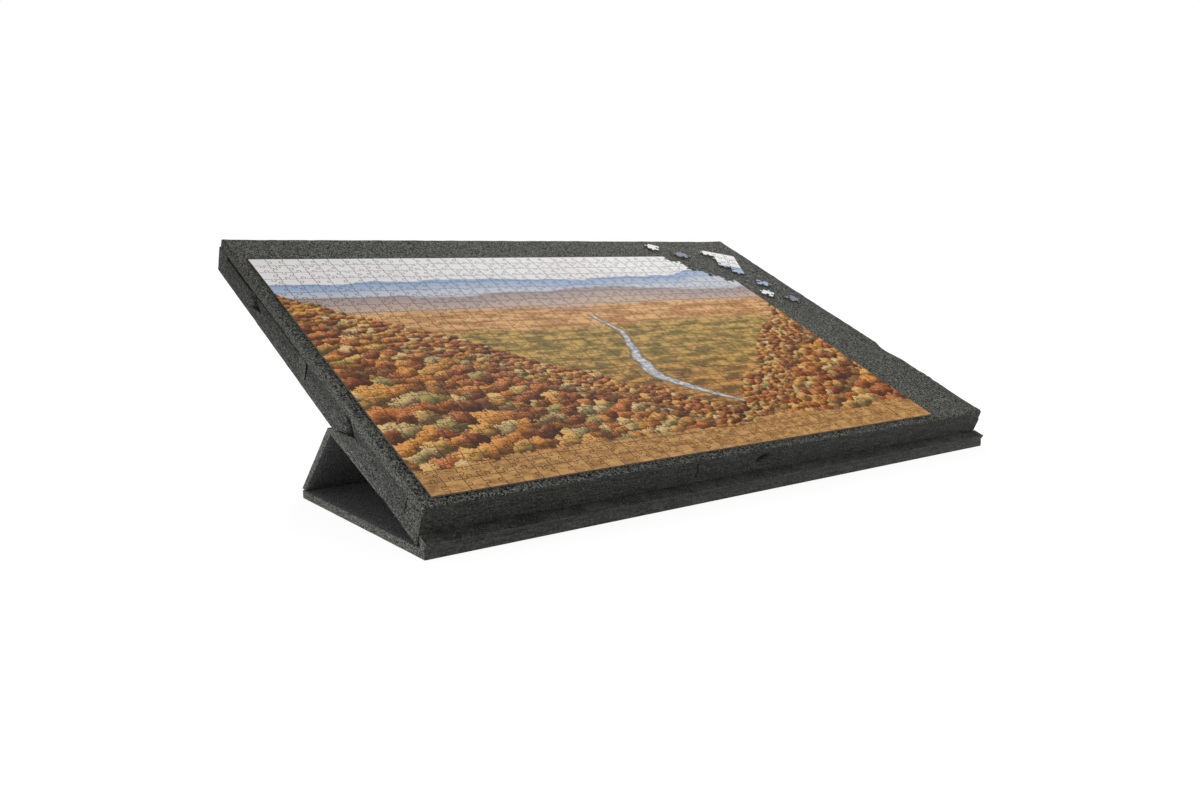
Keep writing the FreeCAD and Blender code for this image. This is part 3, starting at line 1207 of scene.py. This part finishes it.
@dataclass(frozen=True)
class Fit:
    """How one end of a drawer's front stands in its opening."""

    top: float = 0.0
    near_top: float = 0.0
    close: float = 0.55 * MM
    slit: float = 0.0
    slit_low: float = 10.0 * MM
    slit_high: float = 27.0 * MM
    top_round: float = 0.3 * MM

    def edge(self, height: float) -> float:
        """How far the front's end reaches past its drawn size.

        Args:
            height: A height in the board's axes.

        Returns:
            The reach, below 0 where a slit is open.
        """
        opened = smooth_step(height, self.slit_low - 2.0 * MM, self.slit_low + 2.0 * MM)
        opened *= 1.0 - smooth_step(height, self.slit_high - 0.5 * MM, self.slit_high + 1.5 * MM)
        return self.close - (self.close + self.slit) * opened if self.slit > 0.0 else self.close


@dataclass
class Drawer:
    """One drawer in its own axes: front face on y = 0, centred on x = 0, underside on z = 0."""

    name: str
    board: Board
    width: float
    depth: float
    height: float
    place: Matrix
    fine: Sequence[float]
    ends: tuple[Fit, Fit]
    near: float = 1.0
    lean_in: float = 0.0
    lean_span: Point = (7.0 * MM, 18.0 * MM)
    # How much painted shade the leaned-in band of the front takes.
    lean_shade: float = 0.25
    near_top_from: float = -28.0 * MM
    front_wall: float = 16.0 * MM
    rim_wall: float = 6.0 * MM
    floor: float = 2.5 * MM
    rim_drop: float = 1.5 * MM
    rim_round: float = 0.8 * MM
    cell: float = 1.8 * MM

    def build(self) -> None:
        """Makes the drawer's three pieces."""
        stock = self.board.stock
        materials = [stock.finishes.face, stock.finishes.drawer, stock.finishes.front]
        for part, shape in (("front", self._front()), ("floor", self._floor()), ("rim", self._rim())):
            bmesh.ops.transform(shape, matrix=self.place, verts=shape.verts)
            if part == "front" and self.lean_in > 0.0:
                self.board.cut_lines(shape)
            shape.normal_update()
            stock.finish_faces(shape)
            if part == "front":
                self.board.press(shape)
            node = self.name + "_" + part
            finish_piece("felt_" + node, shape, self.name, node, materials, self.board.place())

    def _front(self) -> Shape:
        """The front block, finely cut where its finger notch is pressed in."""
        stock, fit, half, height = self.board.stock, self.ends[0], self.width / 2, self.height
        shape = stock.block((-half, 0.0, -HAIR), (half, self.front_wall, height))
        layer = painted_shade_layer(shape)
        stock.soften(shape, fit.top_round, lambda middle: middle.y < HAIR and middle.z > height - HAIR)
        stock.soften(shape, 0.3 * MM, lambda middle: middle.y > 2.0 * MM or middle.z < height - 3.0 * MM)
        stock.slice(shape, 0, sorted(steps(-half, half, stock.cell) + list(self.fine)))
        stock.slice(shape, 2, steps(0.0, height, self.cell))
        level = self.place.translation.z
        for vert in shape.verts:
            x, z = vert.co.x, vert.co.z
            if abs(x) > half - 0.4 * MM:
                end = self.ends[x >= 0]
                vert.co.x += end.edge(level + z) * math.copysign(1.0, x)
                # Painted shade on the end faces where a slit opens.
                vert[layer] = 1.0 if end.slit > 0.0 and vert.co.y > 0.25 * MM else 0.0
            lift = fit.top + fit.near_top * smooth_step(x * self.near, self.near_top_from, 0.0)
            vert.co.z += lift * smooth_step(z, height - 6.0 * MM, height - 0.5 * MM)
            # Painted shade along the rounded top edge, in the slit under the top panel.
            if fit.top_round > NEAR:
                vert[layer] = max(vert[layer], smooth_step(z, height - 2.5 * MM, height - 0.7 * MM))
            if vert.co.y < NEAR:
                leaned = smooth_step(z, *self.lean_span)
                vert.co.y += self.lean_in * leaned
                # Painted shade on the leaned-in band of the front.
                vert[layer] = max(vert[layer], self.lean_shade * leaned * min(1.0, self.lean_in / MM))
        return shape

    def _floor(self) -> Shape:
        """The thin floor."""
        stock, half = self.board.stock, self.width / 2
        shape = stock.block((-half, self.front_wall, 0.0), (half, self.depth, self.floor))
        stock.soften(shape)
        return shape

    def _rim(self) -> Shape:
        """The U-shaped wall round the tray."""
        half, wall = self.width / 2, self.rim_wall
        front, back = self.front_wall, self.depth
        outline = [(half, front), (half, back), (-half, back), (-half, front), (-half + wall, front),
                   (-half + wall, back - wall), (half - wall, back - wall), (half - wall, front)]
        shape = self.board.stock.plate(outline, self.floor, self.height - self.rim_drop)
        self.board.stock.soften(shape, self.rim_round)
        return shape


@dataclass
class Drawers:
    """The five drawers in their places in the board."""

    board: Board
    slide_level: float = 6.3 * MM
    top_level: float = 27.8 * MM
    side_depth: float = 287.2 * MM
    side_width: float = 238.4 * MM
    side_lean: float = 1.0 * MM
    front_width: float = 183.0 * MM
    front_depth: float = 240.0 * MM
    front_height: float = 10.5 * MM
    front_end: Fit = Fit(top=0.95 * MM, slit=2.0 * MM, slit_low=14.0 * MM, slit_high=28.0 * MM)
    back_end: Fit = Fit(top=0.95 * MM, slit=1.6 * MM, slit_low=11.0 * MM, slit_high=26.5 * MM)
    closed: Fit = Fit(top=-1.8 * MM, near_top=2.1 * MM, top_round=2.4 * MM)
    open_left: Fit = Fit(top=0.9 * MM, close=0.25 * MM, slit=1.2 * MM, slit_low=19.5 * MM,
                         slit_high=30.0 * MM)
    closed_right: Fit = Fit(close=0.35 * MM)

    def build(self) -> None:
        """Makes the drawers of both sides and of the front."""
        for side in Side:
            self._side_pair(side)
        place = Matrix.Translation((0.0, 0.0, self.top_level - self.front_height))
        Drawer("front_drawer", self.board, self.front_width, self.front_depth, self.front_height, place,
               self.board.dent.cuts(1.0 * MM), (self.open_left, self.closed_right)).build()

    def _side_pair(self, side: Side) -> None:
        """The near and the far drawer of one side. The near one shows a slit at both its ends.

        Args:
            side: The side that they slide out of.
        """
        board = self.board
        near = board.end_rail + board.bay / 2
        far = near + board.bay + board.divider
        turn = Matrix.Rotation(math.radians(90.0 * side.value), 4, "Z")
        slits = (self.front_end, self.back_end)[::side.value]
        for label, centre, scoop, ends in (("near", near, board.scoops[0], slits),
                                           ("far", far, board.scoops[1], (self.closed, self.closed))):
            place = Matrix.Translation((side.value * board.half, centre, self.slide_level)) @ turn
            fine = [(u - centre) * side.value for u in scoop.cuts(1.6 * MM)]
            Drawer(f"{side.name.lower()}_{label}_drawer", board, self.side_width, self.side_depth,
                   self.top_level - self.slide_level, place, fine, ends, -side.value, self.side_lean).build()


@dataclass
class Stand:
    """The folded felt stand: base sheet, upturned lip, strut and flap."""

    stock: FeltStock
    half: float
    spread_left: float = 0.3 * MM
    spread_right: float = 1.8 * MM
    lip_shift: tuple = (0.0, -1.2 * MM, 0.2 * MM)
    strut_lean: float = math.radians(43.0)
    heel_shift_mm: tuple = (0.0, 0.6, -2.7)
    tip_lift_mm: float = 2.9
    panel_round: float = 0.9 * MM
    base_round: float = 0.8 * MM
    flap_round: float = 0.4 * MM
    wave: float = 0.25 * MM

    def _copy(self, node: str) -> Shape:
        """A welded copy of a CAD node's shape, its flat sides joined to single faces.

        Args:
            node: The node's name.

        Returns:
            The copy.
        """
        shape = bmesh.new()
        shape.from_mesh(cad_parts[node].data)
        bmesh.ops.remove_doubles(shape, verts=shape.verts, dist=1e-6)
        bmesh.ops.dissolve_limit(shape, angle_limit=math.radians(1.0), verts=shape.verts, edges=shape.edges)
        return shape

    def _widen(self, shape: Shape) -> None:
        """Lets the base run a little past the board, as its cut does."""
        for vert in shape.verts:
            vert.co.x += self.spread_right if vert.co.x > 0 else -self.spread_left

    @staticmethod
    def _shift(shape: Shape, chosen: Callable[[Vector], bool], by: Vector) -> None:
        """Moves the chosen vertices of a shape.

        Args:
            shape: The shape.
            chosen: Tells from a vertex's place whether it moves.
            by: How far it moves.
        """
        for vert in shape.verts:
            if chosen(vert.co):
                vert.co += by

    def _finish(self, node: str, body: str, shape: Shape, up: Vector) -> None:
        """Slices, waves and dresses one panel of the stand.

        Args:
            node: The CAD node that it stands for.
            body: The CAD body that carries it.
            shape: The panel, in the part's own axes.
            up: The way that its broad faces look.
        """
        low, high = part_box(node)
        for axis in (0, 1):
            self.stock.slice(shape, axis, steps(low[axis], high[axis], self.stock.cell))
        shape.normal_update()
        self.stock.finish_faces(shape, up)
        for vert in shape.verts:
            rough = unevenness(vert.co)
            if self.half - abs(vert.co.x) < SKIN:
                vert.co.x -= math.copysign(self.wave * (0.6 + rough.x), vert.co.x)
                if vert.co.z > NEAR:
                    vert.co += Vector((0.0, rough.y, rough.z)) * (self.wave * 0.5)
        finishes = self.stock.finishes
        # The lip's top takes the darker painted-shade felt, the other panels their own face felt.
        face = finishes.lip_top_shaded if node == "front_lip" else finishes.stand_face
        materials = [face, finishes.stand, finishes.stand_front]
        finish_piece("felt_" + node, shape, body, node, materials)

    def build(self) -> None:
        """Makes the four panels."""
        soften = self.stock.soften
        strut_out = Vector((0, math.sin(self.strut_lean), math.cos(self.strut_lean)))
        board_up = Vector((0, -math.sin(TILT), math.cos(TILT)))
        low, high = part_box("base_sheet")
        base = self._copy("base_sheet")
        self._widen(base)
        soften(base, self.base_round, lambda middle: middle.y > low[1] + NEAR or middle.z < NEAR)
        self._finish("base_sheet", "stand_base", base, UP)
        lip = self._copy("front_lip")
        self._widen(lip)
        self._shift(lip, lambda spot: spot.y < low[1] - NEAR, Vector(self.lip_shift))
        soften(lip, self.panel_round, lambda middle: middle.z > high[2] + NEAR)
        self._finish("front_lip", "stand_base", lip, board_up)
        strut = self._copy("strut_panel")
        heel = max(vert.co.y for vert in strut.verts)
        self._shift(strut, lambda spot: spot.y > heel - NEAR, Vector(self.heel_shift_mm) * MM)
        soften(strut, self.panel_round)
        self._finish("strut_panel", "stand_strut", strut, strut_out)
        flap = self._copy("flap_panel")
        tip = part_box("flap_panel")[0][2]
        self._shift(flap, lambda spot: spot.z < tip + NEAR, board_up * self.tip_lift_mm * MM)
        soften(flap, self.flap_round)
        self._finish("flap_panel", "stand_flap", flap, board_up)


@dataclass(frozen=True)
class Loose:
    """A single loose piece: its cell of the grid, and where and how it lies from the back right corner."""

    label: str
    cell: Cell
    right_mm: float
    up_mm: float
    angle: float
    face_up: bool


@dataclass
class Puzzle:
    """The half-finished puzzle: a die-cut grid, the joined corner and five loose pieces."""

    board: Board
    finishes: Finishes
    left: float = 12.3 * MM
    front: float = 10.4 * MM
    columns: int = 37
    rows: int = 27
    wide: float = 18.38 * MM
    deep: float = 17.78 * MM
    card: float = 2.0 * MM
    groove: float = 0.38 * MM
    groove_depth: float = 0.55 * MM
    seed: int = 11
    jitter: float = 0.05
    knob_size: Point = (0.90, 1.10)
    shoulder: float = 0.16
    knob: tuple = ((0.40, -0.01), (0.445, 0.055), (0.385, 0.125), (0.375, 0.195), (0.43, 0.255))
    knob_top: Point = (0.50, 0.27)
    missing: tuple = (4, 3, 3, 2, 1)
    joined: tuple = (3, 2, 2, 1)
    joined_shift: tuple = (69.6 * MM, -1.5 * MM, 0.0)
    joined_angle: float = -26.0
    loose: tuple = (Loose("back", (33, 26), -67.4, 35.5, -38.0, True),
                    Loose("corner", (34, 24), -32.4, 4.5, -20.0, False),
                    Loose("sky", (35, 23), 47.6, -98.5, -35.0, True),
                    Loose("middle", (34, 25), 27.6, -133.5, -50.0, True),
                    Loose("right", (36, 22), 60.6, -152.5, 12.0, False))

    def __post_init__(self) -> None:
        """Draws the whole grid once, so that loose pieces fit their gaps."""
        rng = random.Random(self.seed)
        self.corner: dict[Cell, Point] = {}
        for i, j in product(range(self.columns + 1), range(self.rows + 1)):
            dx = 0.0 if i in (0, self.columns) else rng.uniform(-self.jitter, self.jitter)
            dy = 0.0 if j in (0, self.rows) else rng.uniform(-self.jitter, self.jitter)
            self.corner[i, j] = ((i + dx) * self.wide, (j + dy) * self.deep)
        self.level: dict[Cell, list[Point]] = {}
        self.upright: dict[Cell, list[Point]] = {}
        for j, i in product(range(self.rows + 1), range(self.columns)):
            plain = j in (0, self.rows)
            self.level[i, j] = self._edge(self.corner[i, j], self.corner[i + 1, j], rng, plain)
        for i, j in product(range(self.columns + 1), range(self.rows)):
            plain = i in (0, self.columns)
            self.upright[i, j] = self._edge(self.corner[i, j], self.corner[i, j + 1], rng, plain)

    def _edge(self, start: Point, end: Point, rng: random.Random, plain: bool) -> list[Point]:
        """One cut between two corners of the grid.

        Args:
            start: The first corner.
            end: The second corner.
            rng: Where its chances come from.
            plain: Whether it is straight, as at the puzzle's border.

        Returns:
            The cut's inner points.
        """
        if plain:
            return []
        side = rng.choice((-1.0, 1.0))
        shift = rng.uniform(-self.jitter, self.jitter)
        size = rng.uniform(*self.knob_size)
        sag = rng.uniform(-self.jitter, self.jitter)
        half = [(self.shoulder, sag), *self.knob]
        curve = [*half, self.knob_top, *((1.0 - t, h) for t, h in reversed(half))]
        ax, ay = start
        dx, dy = end[0] - ax, end[1] - ay
        points = []
        for index, (t, h) in enumerate(curve):
            knob = 1 <= index <= len(curve) - 2
            place = 0.5 + (t - 0.5) * size + shift if knob else t
            reach = h * size * side if knob else h
            points.append((ax + dx * place - dy * reach, ay + dy * place + dx * reach))
        return points

    def _corner_cells(self, counts: Sequence[int]) -> list[Cell]:
        """The cells at the back right corner, with so many in each row from the back."""
        last, back = self.columns - 1, self.rows - 1
        return [(last - column, back - row) for row, n in enumerate(counts) for column in range(n)]

    def _outline(self, i: int, j: int) -> list[Point]:
        """The points round one cell of the grid, read anticlockwise."""
        return [self.corner[i, j], *self.level[i, j], self.corner[i + 1, j], *self.upright[i + 1, j],
                self.corner[i + 1, j + 1], *self.level[i, j + 1][::-1], self.corner[i, j + 1],
                *self.upright[i, j][::-1]]

    def _cells(self, cells: Iterable[Cell]) -> Shape:
        """Joins cells into one sheet of card, each with its own softened top edge.

        Args:
            cells: The cells of the grid.

        Returns:
            The sheet in the grid's own axes.
        """
        shape = bmesh.new()
        known: dict[Point, Vert] = {}

        def vert(point: Point) -> Vert:
            """The one vertex at a point of the grid.

            Args:
                point: The point.

            Returns:
                Its vertex, made where there is none yet.
            """
            key = (round(point[0], 7), round(point[1], 7))
            if key not in known:
                known[key] = shape.verts.new((point[0], point[1], self.card - self.groove_depth))
            return known[key]

        tops = [shape.faces.new([vert(point) for point in self._outline(i, j)]) for i, j in cells]
        shape.normal_update()
        rim = [e for e in shape.edges if e.is_boundary]
        ring = bmesh.ops.inset_individual(shape, faces=tops, thickness=self.groove, depth=self.groove_depth,
                                          use_even_offset=False)["faces"]
        skirt = bmesh.ops.extrude_edge_only(shape, edges=rim)["geom"]
        low = [v for v in skirt if isinstance(v, Vert)]
        bmesh.ops.translate(shape, vec=(0, 0, self.groove_depth - self.card), verts=low)
        edges = [g for g in skirt if isinstance(g, bmesh.types.BMEdge)]
        walls = [g for g in skirt if isinstance(g, bmesh.types.BMFace)]
        backs = bmesh.ops.holes_fill(shape, edges=edges, sides=0)["faces"]
        # The groove ring takes the painted-shade card, the walls the cut edge and the backs the plain card.
        for kind, faces in ((Card.GROOVE, ring), (Card.EDGE, walls), (Card.BACK, backs)):
            for face in faces:
                face.material_index = kind.value
        bmesh.ops.recalc_face_normals(shape, faces=shape.faces)
        layer = shape.loops.layers.uv.new("print")
        size = (self.columns * self.wide, self.rows * self.deep)
        for loop in (loop for face in shape.faces for loop in face.loops):
            loop[layer].uv = (loop.vert.co.x / size[0], loop.vert.co.y / size[1])
        return shape

    def _lay(self, name: str, cells: Iterable[Cell], node: str, place: Matrix,
             face_up: bool = True) -> None:
        """Lays a sheet of card on the work surface.

        Args:
            name: The piece's name.
            cells: The cells of the grid that it holds.
            node: The CAD node that it replaces.
            place: Where the grid's axes lie on the board.
            face_up: Whether its print shows.
        """
        top = self.finishes.picture if face_up else self.finishes.card
        materials = [top, self.finishes.groove, self.finishes.card, self.finishes.card_edge]
        finish_piece(name, self._cells(cells), "board", node, materials, self.board.place() @ place,
                     smooth=False)

    def build(self) -> None:
        """Makes the assembled sheet, the joined corner and the loose pieces."""
        gone = set(self._corner_cells(self.missing))
        whole = [cell for cell in product(range(self.columns), range(self.rows)) if cell not in gone]
        start = Vector((self.left - self.board.half, self.front, self.board.top))
        self._lay("puzzle_sheet", whole, "assembled_puzzle", Matrix.Translation(start))
        corner = Vector((self.columns * self.wide, self.rows * self.deep, 0.0))
        apart = Matrix.Translation(start + corner + Vector(self.joined_shift))
        turn = Matrix.Rotation(math.radians(self.joined_angle), 4, "Z")
        self._lay("puzzle_corner", self._corner_cells(self.joined), "corner_pieces",
                  apart @ turn @ Matrix.Translation(-corner))
        for piece in self.loose:
            i, j = piece.cell
            middle = Vector(((i + 0.5) * self.wide, (j + 0.5) * self.deep, 0.0))
            shift = Vector((piece.right_mm * MM, piece.up_mm * MM, 0.0))
            turn = Matrix.Rotation(math.radians(piece.angle), 4, "Z")
            place = Matrix.Translation(start + corner + shift) @ turn @ Matrix.Translation(-middle)
            self._lay("puzzle_loose_" + piece.label, [piece.cell],
                      "loose_piece_" + piece.label, place, piece.face_up)


@dataclass(frozen=True)
class Lamp:
    """A soft square lamp: where it hangs and points, its size, power and spread."""

    name: str
    place: tuple
    aim: tuple
    size: float
    power: float
    spread: float

    def build(self) -> None:
        """Hangs the lamp."""
        data = bpy.data.lights.new(self.name, "AREA")
        data.shape = "SQUARE"
        data.size = self.size
        data.energy = self.power
        data.spread = math.radians(self.spread)
        direction = Vector(self.aim) - Vector(self.place)
        turn = direction.to_track_quat("-Z", "Y").to_matrix().to_4x4()
        add_object(self.name, data).matrix_world = Matrix.Translation(self.place) @ turn


@dataclass
class Studio:
    """Floor, light and camera."""

    camera_place: tuple = (-0.7611, -1.0234, 0.2580)
    azimuth: float = math.radians(39.296)
    pitch: float = math.radians(8.502)
    roll: float = math.radians(-0.066)
    focal_pixels: float = 1030.05
    centre_x: float = 665.87
    frame_width: float = 1200.0
    sensor: float = 36.0
    clip: Point = (0.01, 60.0)
    floor_size: float = 20.0
    floor_level: float = -0.0002
    floor_colour: tuple = (0.86, 0.86, 0.86, 1.0)
    floor_white: float = 1.13
    world_light: float = 0.46
    lamps: tuple = (Lamp("key", (0.95, 1.28, 1.05), (0.0, 0.0, 0.15), 0.9, 30.0, 180.0),
                    Lamp("left_fill", (-0.84, -0.21, 0.12), (-0.394, -0.11, 0.07), 0.16, 0.84, 150.0),
                    Lamp("front_fill", (1.4, -1.3, 0.5), (0.0, -0.25, 0.05), 0.8, 4.0, 120.0))

    def build(self) -> None:
        """Sets the stage."""
        self._camera()
        self._floor()
        self._world()
        for lamp in self.lamps:
            lamp.build()
        bpy.context.scene.view_settings.view_transform = "Standard"

    def _camera(self) -> None:
        """The camera at the photographed angle."""
        data = bpy.data.cameras.new("camera")
        data.sensor_width = self.sensor
        data.lens = self.sensor * self.focal_pixels / self.frame_width
        data.shift_x = (self.frame_width / 2 - self.centre_x) / self.frame_width
        data.clip_start, data.clip_end = self.clip
        camera = add_object("camera", data)
        turn = (Matrix.Rotation(-self.azimuth, 4, "Z") @ Matrix.Rotation(math.pi / 2 - self.pitch, 4, "X")
                @ Matrix.Rotation(-self.roll, 4, "Z"))
        camera.matrix_world = Matrix.Translation(self.camera_place) @ turn
        bpy.context.scene.camera = camera

    def _floor(self) -> None:
        """A pale floor that keeps a faint shadow."""
        shape = bmesh.new()
        bmesh.ops.create_grid(shape, x_segments=1, y_segments=1, size=self.floor_size)
        r = Recipe(bpy.data.materials.new("pale_floor"))
        plain = r.node("ShaderNodeBsdfDiffuse", inputs={"Color": self.floor_colour})
        white = r.node("ShaderNodeEmission", inputs={"Color": WHITE, "Strength": self.floor_white})
        away = r.node("ShaderNodeVectorMath", {"operation": "LENGTH"}, {0: r.coordinates()}, "Value")
        r.end(r.white_where_seen(plain, white, away.rise(0.9, 2.2) * 0.20 + 0.80))
        floor = add_object("floor", to_mesh("floor", shape, [r.owner]))
        floor.location.z = self.floor_level

    def _world(self) -> None:
        """Soft even light, white where the camera sees it."""
        world = bpy.data.worlds.new("studio")
        bpy.context.scene.world = world
        r = Recipe(world)
        soft, white = (r.node("ShaderNodeBackground", inputs={"Color": WHITE, "Strength": strength})
                       for strength in (self.world_light, 1.0))
        r.end(r.white_where_seen(soft, white), "ShaderNodeOutputWorld")


def main() -> None:
    """Builds the part's looks in order."""
    logging.basicConfig(level=logging.INFO)
    noise.seed_set(WEAR_SEED)
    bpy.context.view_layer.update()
    finishes = Finishes()
    stock = FeltStock(finishes)
    board = Board(stock)
    board.build()
    Drawers(board).build()
    Stand(stock, board.half).build()
    Puzzle(board, finishes).build()
    Studio().build()


if __name__ == "__main__":
    main()
